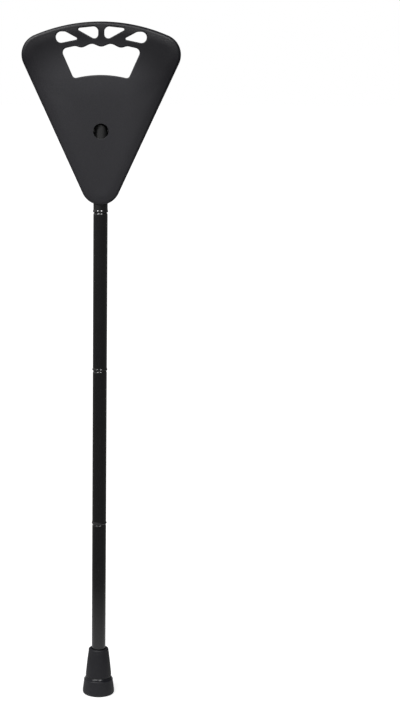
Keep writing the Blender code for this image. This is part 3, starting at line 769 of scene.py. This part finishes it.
def refined(node, name, edge_width=0.2 * MM):
    """A copy of a small CAD node, with its triangles merged and its edges eased."""
    piece = frame["nodes"][node].copy()
    piece.data = frame["nodes"][node].data.copy()
    piece.name = name
    piece.data.name = name
    piece.parent = None
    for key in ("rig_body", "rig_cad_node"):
        del piece[key]
    bpy.context.scene.collection.objects.link(piece)
    select_only(piece)
    bpy.ops.mesh.customdata_custom_splitnormals_clear()
    with editing(piece):
        bpy.ops.mesh.select_all(action="SELECT")
        bpy.ops.mesh.remove_doubles(threshold=0.002 * MM)
        bpy.ops.mesh.select_all(action="SELECT")
        bpy.ops.mesh.dissolve_limited(angle_limit=math.radians(1))
    ease = piece.modifiers.new("eased_edges", "BEVEL")
    ease.width = edge_width
    ease.segments = 2
    ease.limit_method = "ANGLE"
    ease.angle_limit = math.radians(35)
    apply_all(piece)
    smooth(piece)
    return piece


# Foot


def make_foot():
    """Rubber tip with a collar, a taper, a ledge under a groove, and a ringed and ribbed sole."""
    bore_r = TUBE_R + 0.3 * MM
    floor = 9.0 * MM
    top = FOOT_TOP
    profile = [(bore_r, floor), (bore_r, top - 0.8 * MM), (bore_r + 0.25 * MM, top - 0.25 * MM)]
    profile += [(bore_r + 0.8 * MM, top)]
    profile += arc((11.9 * MM, top - 1.8 * MM), 1.8 * MM, 90, 6, 9)
    profile += [
        (13.8 * MM, 61.6 * MM),
        (13.88 * MM, 60.8 * MM),
        (13.78 * MM, 60.3 * MM),
        (13.82 * MM, 59.8 * MM),
        (14.05 * MM, 59.2 * MM),
        (14.3 * MM, 57.2 * MM),
        (15.45 * MM, 48.5 * MM),
        (16.1 * MM, 42.5 * MM),
        (16.65 * MM, 37.5 * MM),
        (17.5 * MM, 28.5 * MM),
        (17.64 * MM, 26.0 * MM),
    ]
    profile += arc((17.95 * MM, 24.7 * MM), 0.85 * MM, 125, 245, 8)
    profile += [(17.95 * MM, 23.35 * MM), (18.45 * MM, 22.4 * MM)]
    profile += arc((18.5 * MM, 19.8 * MM), 1.4 * MM, 68, 3, 7)
    profile += [(20.0 * MM, 18.0 * MM), (20.75 * MM, 12.2 * MM), (21.6 * MM, 6.0 * MM)]
    profile += [(FOOT_R - 0.02 * MM, 5.0 * MM), (FOOT_R, 4.0 * MM)]
    profile += arc((FOOT_R - 2.4 * MM, 2.4 * MM), 2.4 * MM, -4, -84, 7)
    profile += [(19.0 * MM, 0.0)]
    rings = (17.2 * MM, 11.2 * MM, 8.6 * MM, 4.6 * MM)
    profile += [(ring, 0.0) for ring in rings]
    steps = 144
    foot = turn("rubber_foot", profile, steps=steps)
    cut_tread(foot, rings, steps)
    smooth(foot)
    return foot


def cut_tread(foot, rings, steps):
    """Sinks eight cells and the ring round the hub into the sole, with eased edges."""
    cells = 8
    per_cell = steps // cells
    cells_outer, cells_inner, hub_ring_outer, hub_ring_inner = rings

    def sunk(face):
        middle = face.calc_center_median()
        if middle.z > LEVEL:
            return False
        radius = middle.xy.length
        if hub_ring_inner < radius < hub_ring_outer:
            return True
        place = math.floor(math.degrees(math.atan2(middle.y, middle.x)) % 360 * steps / 360) % per_cell
        return cells_inner < radius < cells_outer and 0 < place < per_cell - 1

    def edge_of_cell(edge):
        slopes = sorted(abs(face.normal.z) for face in edge.link_faces)
        return slopes[0] < 0.2 and slopes[1] > 0.99 and all(vert.co.z < LEVEL for vert in edge.verts)

    with editing(foot):
        pick(foot, "FACE", sunk)
        bpy.ops.mesh.extrude_region_move(TRANSFORM_OT_translate={"value": (0, 0, 2 * MM)})
        pick(foot, "EDGE", edge_of_cell)
        bpy.ops.mesh.bevel(offset=0.35 * MM, segments=2, profile=0.5, affect="EDGES")


# Finishes


def new_group(name, inputs, outputs):
    """A node group with named number inputs and outputs, and its two end nodes."""
    group = bpy.data.node_groups.new(name, "ShaderNodeTree")
    for label, value in inputs.items():
        socket = group.interface.new_socket(label, in_out="INPUT", socket_type="NodeSocketFloat")
        socket.default_value = value
    for label in outputs:
        group.interface.new_socket(label, in_out="OUTPUT", socket_type="NodeSocketFloat")
    return group, group.nodes.new("NodeGroupInput"), group.nodes.new("NodeGroupOutput")


def add_node(tree, kind, links=None, **settings):
    """Adds a node, sets its properties, and links or sets its inputs by name or number."""
    node = tree.nodes.new(kind)
    for key, value in settings.items():
        setattr(node, key, value)
    for key, value in (links or {}).items():
        if isinstance(value, bpy.types.NodeSocket):
            tree.links.new(value, node.inputs[key])
        else:
            node.inputs[key].default_value = value
    return node


def maths(tree, operation, first, second=0.0):
    return add_node(tree, "ShaderNodeMath", {0: first, 1: second}, operation=operation).outputs[0]


def spread(tree, value, low, high, to_low, to_high, course="LINEAR"):
    """Maps a value from one range to another, held at the ends."""
    links = {"Value": value, "From Min": low, "From Max": high, "To Min": to_low, "To Max": to_high}
    return add_node(tree, "ShaderNodeMapRange", links, interpolation_type=course).outputs["Result"]


def grain_group():
    """Fine pebbles of a leather-like mould, uneven in size, with a slow change of tone."""
    group, source, result = new_group(
        "mould_grain", {"Pebbles per metre": 900.0, "Unevenness": 0.35}, ("Height", "Tone")
    )
    place = add_node(group, "ShaderNodeTexCoord").outputs["Object"]
    wander = add_node(group, "ShaderNodeTexNoise", {"Vector": place, "Scale": 420.0, "Detail": 2.0})
    drift = add_node(
        group, "ShaderNodeVectorMath", {0: wander.outputs["Color"], 1: (0.5, 0.5, 0.5)},
        operation="SUBTRACT",
    )
    share = maths(group, "MULTIPLY", source.outputs["Unevenness"], 0.002)
    scaled = add_node(
        group, "ShaderNodeVectorMath", {0: drift.outputs[0], "Scale": share}, operation="SCALE"
    )
    moved = add_node(group, "ShaderNodeVectorMath", {0: place, 1: scaled.outputs[0]}, operation="ADD")
    pebbles = add_node(
        group, "ShaderNodeTexVoronoi",
        {"Vector": moved.outputs[0], "Scale": source.outputs["Pebbles per metre"]},
        feature="F1",
    )
    dome = spread(group, pebbles.outputs["Distance"], 0.05, 0.75, 1.0, 0.0)
    fine = add_node(group, "ShaderNodeTexNoise", {"Vector": place, "Scale": 3200.0, "Detail": 3.0})
    height = maths(group, "ADD", dome, maths(group, "MULTIPLY", fine.outputs["Fac"], 0.25))
    slow = add_node(
        group, "ShaderNodeTexNoise", {"Vector": place, "Scale": 26.0, "Detail": 4.0, "Roughness": 0.6}
    )
    group.links.new(height, result.inputs["Height"])
    group.links.new(spread(group, slow.outputs["Fac"], 0.3, 0.7, 0.0, 1.0), result.inputs["Tone"])
    return group


def draw_lines_group():
    """Fine lines that run round the openings' walls, as a mould leaves them."""
    group, source, result = new_group("draw_lines", {"Strength": 1.0}, ("Height", "Wall"))
    coordinates = add_node(group, "ShaderNodeTexCoord")
    stretch = add_node(
        group, "ShaderNodeMapping", {"Vector": coordinates.outputs["Object"], "Scale": (40, 1100, 40)}
    )
    lines = add_node(
        group, "ShaderNodeTexNoise", {"Vector": stretch.outputs[0], "Scale": 1.0, "Detail": 2.0}
    )
    normal = add_node(group, "ShaderNodeSeparateXYZ", {0: coordinates.outputs["Normal"]})
    across = maths(group, "ABSOLUTE", normal.outputs["Y"])
    wall = spread(group, across, 0.25, 0.7, 1.0, 0.0)
    strength = maths(group, "MULTIPLY", wall, source.outputs["Strength"])
    group.links.new(maths(group, "MULTIPLY", lines.outputs["Fac"], strength), result.inputs["Height"])
    group.links.new(wall, result.inputs["Wall"])
    return group


def scuff_group():
    """Thin, sparse scuffs that run mostly one way, as handling leaves on a hard surface."""
    group, source, result = new_group("handling_scuffs", {"Along": 30.0, "Across": 700.0}, ("Mask",))
    place = add_node(group, "ShaderNodeTexCoord").outputs["Object"]
    scale = add_node(
        group, "ShaderNodeCombineXYZ",
        {0: source.outputs["Across"], 1: source.outputs["Across"], 2: source.outputs["Along"]},
    )
    stretched = add_node(
        group, "ShaderNodeVectorMath", {0: place, 1: scale.outputs[0]}, operation="MULTIPLY"
    )
    streaks = add_node(
        group, "ShaderNodeTexNoise", {"Vector": stretched.outputs[0], "Scale": 1.0, "Detail": 3.0}
    )
    patches = add_node(group, "ShaderNodeTexNoise", {"Vector": place, "Scale": 34.0, "Detail": 2.0})
    mask = maths(
        group, "MULTIPLY",
        spread(group, streaks.outputs["Fac"], 0.58, 0.74, 0.0, 1.0),
        spread(group, patches.outputs["Fac"], 0.5, 0.68, 0.0, 1.0),
    )
    group.links.new(mask, result.inputs["Mask"])
    return group


def new_finish(name, colour, roughness, metallic=0.0, specular=0.5):
    """A material with its plain values set, its tree and its Principled shader."""
    material = bpy.data.materials.new(name)
    material.use_nodes = True
    tree = material.node_tree
    shader = tree.nodes["Principled BSDF"]
    shader.inputs["Base Color"].default_value = (*colour, 1.0)
    shader.inputs["Roughness"].default_value = roughness
    shader.inputs["Metallic"].default_value = metallic
    shader.inputs["Specular IOR Level"].default_value = specular
    return material, tree, shader


def use_group(tree, group, **values):
    node = tree.nodes.new("ShaderNodeGroup")
    node.node_tree = group
    for key, value in values.items():
        node.inputs[key.replace("_", " ")].default_value = value
    return node


def tinted(tree, dark, light, share):
    """Colour between two, by a value from 0 to 1."""
    mix = add_node(tree, "ShaderNodeMix", data_type="RGBA")
    mix.inputs["A"].default_value = (*dark, 1.0)
    mix.inputs["B"].default_value = (*light, 1.0)
    tree.links.new(share, mix.inputs["Factor"])
    return mix.outputs["Result"]


def split_place(tree, coordinates="Object"):
    """The X, Y and Z outputs of a coordinate."""
    place = add_node(tree, "ShaderNodeTexCoord").outputs[coordinates]
    return add_node(tree, "ShaderNodeSeparateXYZ", {0: place}).outputs


def relief(tree, shader, height, depth, strength=1.0):
    bump = add_node(tree, "ShaderNodeBump", {"Height": height, "Distance": depth, "Strength": strength})
    tree.links.new(bump.outputs["Normal"], shader.inputs["Normal"])


def painted_sheen_map(tree):
    """Share of painted sheen over the seat's face: 1 where a broad painted highlight lies, over the
    middle and under the hand hole, down to 0 at its far corners, which stay darker as painted shade.
    """
    centre_x, centre_z = -10 * MM, PIVOT.z + 60 * MM
    place = split_place(tree)
    aside = maths(tree, "SUBTRACT", place["X"], centre_x)
    rise = maths(tree, "SUBTRACT", place["Z"], centre_z)
    above = maths(tree, "MULTIPLY", rise, 1.5)
    below = maths(tree, "MULTIPLY", rise, -0.3)
    upright = maths(tree, "MAXIMUM", above, below)
    offset = add_node(tree, "ShaderNodeCombineXYZ", {0: aside, 2: upright}).outputs[0]
    away = add_node(tree, "ShaderNodeVectorMath", {0: offset}, operation="LENGTH").outputs["Value"]
    near = spread(tree, away, 38 * MM, 104 * MM, 1.0, 0.0, "SMOOTHSTEP")
    under_hole = spread(tree, rise, -40 * MM, 5 * MM, 0.72, 1.0, "SMOOTHSTEP")
    return maths(tree, "MULTIPLY", near, under_hole)


def seat_finish(grain, lines):
    """Charcoal moulded plastic: leather grain outside, draw lines in the openings, and a painted sheen
    that makes the face lighter in the middle and darker at the corners.
    """
    # Colours run from painted shade at the corners (dark) to the painted sheen of the middle (light).
    dark, light = (0.0065, 0.0062, 0.0082), (0.0335, 0.033, 0.037)
    material, tree, shader = new_finish("seat_plastic", dark, 0.5, specular=0.35)
    pebbles = use_group(tree, grain, Pebbles_per_metre=950.0, Unevenness=0.5)
    drawn = use_group(tree, lines)
    off_wall = maths(tree, "SUBTRACT", 1.0, drawn.outputs["Wall"])
    grained = maths(tree, "MULTIPLY", pebbles.outputs["Height"], off_wall)
    height = maths(tree, "ADD", grained, drawn.outputs["Height"])
    # Painted sheen: a broad painted highlight over the middle of the face and painted shade toward the
    # corners, mixed with the grain's random tone.
    sheen_amount = painted_sheen_map(tree)
    uneven = spread(tree, pebbles.outputs["Tone"], 0, 1, 0.82, 1.0)
    colour = tinted(tree, dark, light, maths(tree, "MULTIPLY", sheen_amount, uneven))
    tree.links.new(colour, shader.inputs["Base Color"])
    rough = spread(tree, pebbles.outputs["Tone"], 0, 1, 0.45, 0.39)
    tree.links.new(rough, shader.inputs["Roughness"])
    relief(tree, shader, height, 0.05 * MM, 0.7)
    return material


def moulded_finish(name, grain, dark, light, roughness, pebbles, depth):
    """Smoother moulded plastic or rubber, with a faint grain and a slow change of tone."""
    material, tree, shader = new_finish(name, dark, roughness)
    fine = use_group(tree, grain, Pebbles_per_metre=pebbles, Unevenness=0.3)
    tree.links.new(tinted(tree, dark, light, fine.outputs["Tone"]), shader.inputs["Base Color"])
    tone = spread(tree, fine.outputs["Tone"], 0, 1, roughness + 0.04, roughness - 0.04)
    tree.links.new(tone, shader.inputs["Roughness"])
    relief(tree, shader, fine.outputs["Height"], depth, 0.6)
    return material


def foot_finish(grain):
    """Grained rubber, left smooth by the mould in the groove over the wide base."""
    material = moulded_finish(
        "foot_rubber", grain, (0.0055, 0.0055, 0.009), (0.0095, 0.0095, 0.013), 0.55, 1500.0, 0.04 * MM
    )
    tree = material.node_tree
    roughness = tree.nodes["Principled BSDF"].inputs["Roughness"]
    grained = roughness.links[0].from_socket
    groove_height = 22.9 * MM
    away = maths(tree, "ABSOLUTE", maths(tree, "SUBTRACT", split_place(tree)["Z"], groove_height))
    groove = spread(tree, away, 1.8 * MM, 2.6 * MM, 1.0, 0.0)
    tree.links.new(maths(tree, "SUBTRACT", grained, maths(tree, "MULTIPLY", groove, 0.33)), roughness)
    return material


def tube_finish(scuffs):
    """Gloss black coating with faint orange peel and light scuffs, matt where the seat covers it."""
    dark, light = (0.0028, 0.0028, 0.0032), (0.012, 0.012, 0.013)
    material, tree, shader = new_finish("tube_coating", dark, 0.2)
    shader.inputs["Coat Roughness"].default_value = 0.08
    tip = PIVOT.z + TIP_DISC[1] - TIP_DISC[2]
    covered = spread(tree, split_place(tree)["Z"], tip - 1 * MM, tip + 1 * MM, 0.0, 1.0)
    tree.links.new(spread(tree, covered, 0, 1, 1.0, 0.0), shader.inputs["Coat Weight"])
    marks = use_group(tree, scuffs, Along=24.0, Across=520.0)
    faint = maths(tree, "MULTIPLY", marks.outputs["Mask"], 0.35)
    tree.links.new(tinted(tree, dark, light, faint), shader.inputs["Base Color"])
    place = add_node(tree, "ShaderNodeTexCoord").outputs["Object"]
    peel = add_node(tree, "ShaderNodeTexNoise", {"Vector": place, "Scale": 520.0, "Detail": 1.0})
    haze = add_node(tree, "ShaderNodeTexNoise", {"Vector": place, "Scale": 60.0, "Detail": 3.0})
    rough = maths(
        tree, "ADD", spread(tree, haze.outputs["Fac"], 0.35, 0.65, 0.19, 0.25),
        maths(tree, "MULTIPLY", marks.outputs["Mask"], 0.12),
    )
    matt = maths(tree, "MULTIPLY", covered, 0.38)
    tree.links.new(maths(tree, "ADD", rough, matt), shader.inputs["Roughness"])
    relief(tree, shader, peel.outputs["Fac"], 0.012 * MM, 0.35)
    return material


def steel_finish(name, scuffs, colour, roughness):
    """Bright metal with fine drawn lines."""
    material, tree, shader = new_finish(name, colour, roughness, 1.0)
    lines = use_group(tree, scuffs, Along=400.0, Across=2600.0)
    darker = tuple(0.8 * part for part in colour)
    tree.links.new(tinted(tree, colour, darker, lines.outputs["Mask"]), shader.inputs["Base Color"])
    worn = spread(tree, lines.outputs["Mask"], 0, 1, roughness, roughness + 0.15)
    tree.links.new(worn, shader.inputs["Roughness"])
    return material


def cord_finish():
    """Black braided cover: two sets of strands that cross round the cord."""
    dark, light = (0.006, 0.006, 0.007), (0.035, 0.035, 0.038)
    material, tree, shader = new_finish("cord_braid", dark, 0.8)
    strand_pairs, lay = 8.0, 2.4 * MM
    place = split_place(tree)
    around = maths(tree, "ARCTAN2", place["Y"], place["X"])
    strands = maths(tree, "MULTIPLY", around, strand_pairs)
    along = maths(tree, "MULTIPLY", place["Z"], math.tau / lay)
    rising = maths(tree, "SINE", maths(tree, "ADD", strands, along))
    falling = maths(tree, "SINE", maths(tree, "SUBTRACT", strands, along))
    weave = spread(tree, maths(tree, "MULTIPLY", rising, falling), -1.0, 1.0, 0.0, 1.0)
    tree.links.new(tinted(tree, dark, light, weave), shader.inputs["Base Color"])
    relief(tree, shader, weave, 0.2 * MM, 0.8)
    return material


# Stage


def make_floor():
    """Pale floor, white round the cane's shadow, with a reflection that fades with distance."""
    bpy.ops.object.select_all(action="DESELECT")
    bpy.ops.mesh.primitive_plane_add(size=60, location=(0, 0, -0.2 * MM))
    floor = bpy.context.object
    floor.name = "floor"
    material, tree, shader = new_finish("pale_floor", (0.75, 0.75, 0.75), 0.9, specular=0.0)
    place = add_node(tree, "ShaderNodeTexCoord").outputs["Object"]
    away = add_node(tree, "ShaderNodeVectorMath", {0: place}, operation="LENGTH").outputs["Value"]
    path = tree.nodes.new("ShaderNodeLightPath").outputs
    glow = maths(tree, "MULTIPLY", spread(tree, away, 0.3, 2.0, 0.66, 0.95), path["Is Camera Ray"])
    shine = add_node(tree, "ShaderNodeEmission", {"Strength": glow})
    shown = tree.nodes.new("ShaderNodeAddShader")
    tree.links.new(shader.outputs[0], shown.inputs[0])
    tree.links.new(shine.outputs[0], shown.inputs[1])
    dim = add_node(tree, "ShaderNodeEmission", {"Strength": 0.12})
    faded = maths(tree, "MULTIPLY", spread(tree, away, 0.1, 0.55, 0.0, 1.0), path["Is Glossy Ray"])
    result = add_node(tree, "ShaderNodeMixShader", {0: faded, 1: shown.outputs[0], 2: dim.outputs[0]})
    tree.links.new(result.outputs[0], tree.nodes["Material Output"].inputs["Surface"])
    floor.data.materials.append(material)


def make_world():
    """White behind the object, and a dimmer room round it for light and reflections."""
    world = bpy.data.worlds.new("studio")
    bpy.context.scene.world = world
    world.use_nodes = True
    tree = world.node_tree
    background = tree.nodes["Background"]
    path = tree.nodes.new("ShaderNodeLightPath")
    room = spread(tree, split_place(tree, "Generated")["X"], -0.9, 0.3, 0.4, 0.12)
    shown = path.outputs["Is Camera Ray"]
    strength = add_node(tree, "ShaderNodeMix", {"Factor": shown, "A": room, "B": 1.0}, data_type="FLOAT")
    tree.links.new(strength.outputs[0], background.inputs["Strength"])
    background.inputs["Color"].default_value = (1, 1, 1, 1)


def add_softbox(name, place, aim, width, height, power):
    lamp = bpy.data.lights.new(name, "AREA")
    lamp.shape = "RECTANGLE"
    lamp.size = width
    lamp.size_y = height
    lamp.energy = power
    box = bpy.data.objects.new(name, lamp)
    bpy.context.scene.collection.objects.link(box)
    box.location = place
    box.rotation_euler = (Vector(aim) - Vector(place)).to_track_quat("-Z", "Y").to_euler()


def make_lights():
    """Two upright softboxes in front, where the joints' highlights put them, and one overhead."""
    aim = (0, 0, 0.8)
    distance = 1.8
    height = 2.0
    for name, angle, power in (("left_softbox", -47, 15.0), ("right_softbox", 18, 18.0)):
        turned = math.radians(angle)
        place = (distance * math.sin(turned), -distance * math.cos(turned), height)
        add_softbox(name, place, aim, 0.3, 0.9, power)
    add_softbox("overhead_softbox", (-0.7, -1.0, 2.3), aim, 1.0, 0.6, 22.0)


def make_camera():
    """Camera of the picture: a long lens, a little above the seat, looking down by ten degrees."""
    focal_px, long_side_px = 1699.5, 707
    cane_px, middle_px = 99.9, 200
    tilt, roll = math.radians(90 - 9.83), math.radians(0.25)
    data = bpy.data.cameras.new("camera")
    data.lens = focal_px / long_side_px * data.sensor_width
    data.shift_x = (middle_px - cane_px) / long_side_px
    camera = bpy.data.objects.new("camera", data)
    bpy.context.scene.collection.objects.link(camera)
    camera.location = (0, -2.245, 0.866)
    camera.rotation_euler = (Matrix.Rotation(tilt, 3, "X") @ Matrix.Rotation(roll, 3, "Z")).to_euler()
    bpy.context.scene.camera = camera


# Putting the cane together


def finish_piece(piece, material, body, slot, *nodes):
    """Gives a piece its finish, lets it ride its body, and has it stand for CAD nodes."""
    piece.data.materials.clear()
    piece.data.materials.append(material)
    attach(piece, body)
    if nodes:
        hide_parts(*nodes)


def dress_cane():
    grain = grain_group()
    lines = draw_lines_group()
    scuffs = scuff_group()
    seat_plastic = seat_finish(grain, lines)
    button_plastic = moulded_finish(
        "button_plastic", grain, (0.012, 0.012, 0.013), (0.016, 0.016, 0.017), 0.38, 2200.0, 0.01 * MM
    )
    inner_plastic = moulded_finish(
        "inner_plastic", grain, (0.02, 0.02, 0.02), (0.03, 0.03, 0.03), 0.5, 2600.0, 0.012 * MM
    )
    bush_plastic = moulded_finish(
        "bush_plastic", grain, (0.006, 0.006, 0.006), (0.009, 0.009, 0.009), 0.45, 2600.0, 0.008 * MM
    )
    rubber = foot_finish(grain)
    coating = tube_finish(scuffs)
    steel = steel_finish("plated_steel", scuffs, (0.62, 0.62, 0.64), 0.28)
    crimp_metal = steel_finish("crimp_aluminium", scuffs, (0.72, 0.72, 0.72), 0.38)
    braid = cord_finish()

    finish_piece(make_seat(), seat_plastic, "seat", "seat_plastic", "seat_shell")
    finish_piece(make_button(), button_plastic, "button", "button_plastic", "release_button")
    finish_piece(make_stub_tube("top_tube"), coating, "stub", "tube_metal", "stub_tube")
    for part, name in (("upper", "third_tube"), ("middle", "second_tube")):
        tube = make_section_tube(part + "_tube", name)
        finish_piece(tube, coating, part + "_section", "tube_metal", part + "_tube")
    finish_piece(make_lower_tube("first_tube"), coating, "lower_section", "tube_metal", "lower_tube")
    finish_piece(make_foot(), rubber, "lower_section", "foot_rubber", "ferrule")

    spring = make_spring()
    finish_piece(spring, steel, "stub", "bright_steel", "button_spring")
    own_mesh(spring)

    sections = ("lower_section", "middle_section", "upper_section", "stub")
    for part, below, above in zip(("lower", "middle", "upper"), sections, sections[1:]):
        node = "shock_cord_" + part
        cord = make_cord(node, "cord_" + part)
        cord.data.materials.append(braid)
        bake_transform(cord)
        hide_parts(node)

    small = {
        "pivot_pin": ("hinge_pin", steel, "seat", "bright_steel"),
        "pin_retainer": ("push_on_ring", steel, "seat", "bright_steel"),
        "pivot_bush_left": ("left_bush", bush_plastic, "stub", "bush_plastic"),
        "pivot_bush_right": ("right_bush", bush_plastic, "stub", "bush_plastic"),
        "head_plug": ("button_guide", inner_plastic, "stub", "inner_plastic"),
        "upper_cord_plug": ("top_cord_plug", inner_plastic, "stub", "inner_plastic"),
        "upper_cord_crimp": ("top_cord_sleeve", crimp_metal, "stub", "crimp_metal"),
        "upper_neck_guide": ("third_neck_cap", inner_plastic, "upper_section", "inner_plastic"),
        "middle_neck_guide": ("second_neck_cap", inner_plastic, "middle_section", "inner_plastic"),
        "lower_neck_guide": ("first_neck_cap", inner_plastic, "lower_section", "inner_plastic"),
        "lower_cord_plug": ("foot_cord_plug", inner_plastic, "lower_section", "inner_plastic"),
        "lower_cord_crimp": ("foot_cord_sleeve", crimp_metal, "lower_section", "crimp_metal"),
        "ferrule_washer": ("foot_washer", steel, "lower_section", "bright_steel"),
    }
    for node, (name, material, body, slot) in small.items():
        finish_piece(refined(node, name), material, body, slot, node)


dress_cane()
make_floor()
make_world()
make_lights()
make_camera()
bpy.context.scene.view_settings.view_transform = "Standard"
